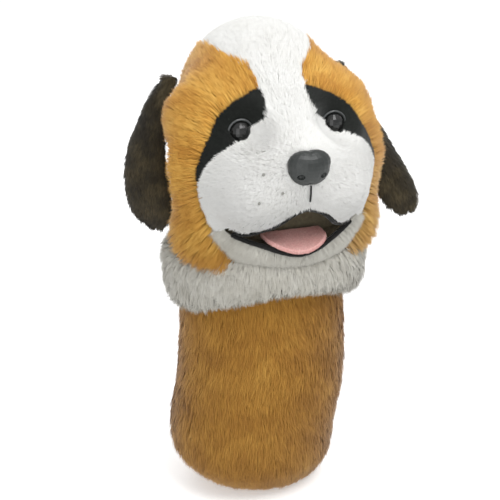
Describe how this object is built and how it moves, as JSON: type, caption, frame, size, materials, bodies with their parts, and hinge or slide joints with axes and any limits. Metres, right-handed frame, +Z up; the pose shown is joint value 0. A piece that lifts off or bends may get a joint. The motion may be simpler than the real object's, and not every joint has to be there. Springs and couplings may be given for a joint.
{
  "type": "driver head cover",
  "caption": "Plush puppy-head golf driver cover with floppy ears, open mouth and tongue, white ruff and long-pile sock with a club pocket inside.",
  "frame": {"origin": "on the ground below the middle of the whole cover, ears included; the sock axis stands 16 mm towards -X and 15.6 mm towards +Y of it", "axes": "+Z up along the sock, -Y the way the dog faces, +X the side of the dog's left ear"},
  "size_m": [0.2244, 0.1649, 0.3588],
  "materials": {
    "gold_pile": "long golden-brown acrylic pile",
    "tan_pile": "long orange-tan acrylic pile",
    "white_plush": "off-white plush",
    "chin_plush": "short off-white plush, greyer",
    "black_plush": "short black plush",
    "brown_plush": "short dark brown plush",
    "brown_lining": "dark brown plush lining",
    "tongue_felt": "pink felt",
    "mouth_felt": "dark brown felt",
    "lip_felt": "black felt cord",
    "nose_plastic": "satin black moulded",
    "eye_plastic": "black, glossy",
    "rim_plastic": "dark grey",
    "washer_plastic": "natural white",
    "lining_cloth": "black woven lining",
    "elastic_band": "white woven elastic",
    "stuffing": "white polyester fibre",
    "stitch_thread": "black thread"
  },
  "bodies": {
    "cover": {"back_panel": "tan_pile", "cheek_panel_left": "tan_pile", "cheek_panel_right": "tan_pile", "chin_panel": "chin_plush", "club_pocket": "lining_cloth", "crown_panel": "white_plush", "elastic_casing": "lining_cloth", "eye_left": "eye_plastic", "eye_patch_left": "black_plush", "eye_patch_right": "black_plush", "eye_right": "eye_plastic", "eye_rim_left": "rim_plastic", "eye_rim_right": "rim_plastic", "eye_washer_left": "washer_plastic", "eye_washer_right": "washer_plastic", "hem_binding": "lining_cloth", "lip_lower": "lip_felt", "lip_upper": "lip_felt", "mouth_lining": "mouth_felt", "muzzle_panel": "white_plush", "neck_elastic": "elastic_band", "neck_ruff": "white_plush", "nose": "nose_plastic", "nose_washer": "washer_plastic", "philtrum_stitch": "stitch_thread", "sleeve_lining": "lining_cloth", "sleeve_plush": "gold_pile", "stuffing_back": "stuffing", "stuffing_chin": "stuffing", "stuffing_front": "stuffing", "stuffing_left": "stuffing", "stuffing_right": "stuffing", "stuffing_top": "stuffing", "whisker_dot_1": "stitch_thread", "whisker_dot_2": "stitch_thread", "whisker_dot_3": "stitch_thread"},
    "left_ear": {"ear_outer_left": "brown_plush", "ear_lining_left": "brown_lining"},
    "right_ear": {"ear_outer_right": "brown_plush", "ear_lining_right": "brown_lining"},
    "tongue_flap": {"tongue": "tongue_felt"}
  },
  "joints": [
    {"name": "left_ear_lift", "type": "hinge", "parent": "cover", "child": "left_ear", "pos_m": [0.055, 0.0306, 0.319], "axis": [0, -1, 0], "range_deg": [0, 95]},
    {"name": "right_ear_lift", "type": "hinge", "parent": "cover", "child": "right_ear", "pos_m": [-0.087, 0.0306, 0.319], "axis": [0, 1, 0], "range_deg": [0, 115]},
    {"name": "tongue_tip", "type": "hinge", "parent": "cover", "child": "tongue_flap", "pos_m": [-0.016, -0.0374, 0.219], "axis": [-1, 0, 0], "range_deg": [0, 16]}
  ]
}
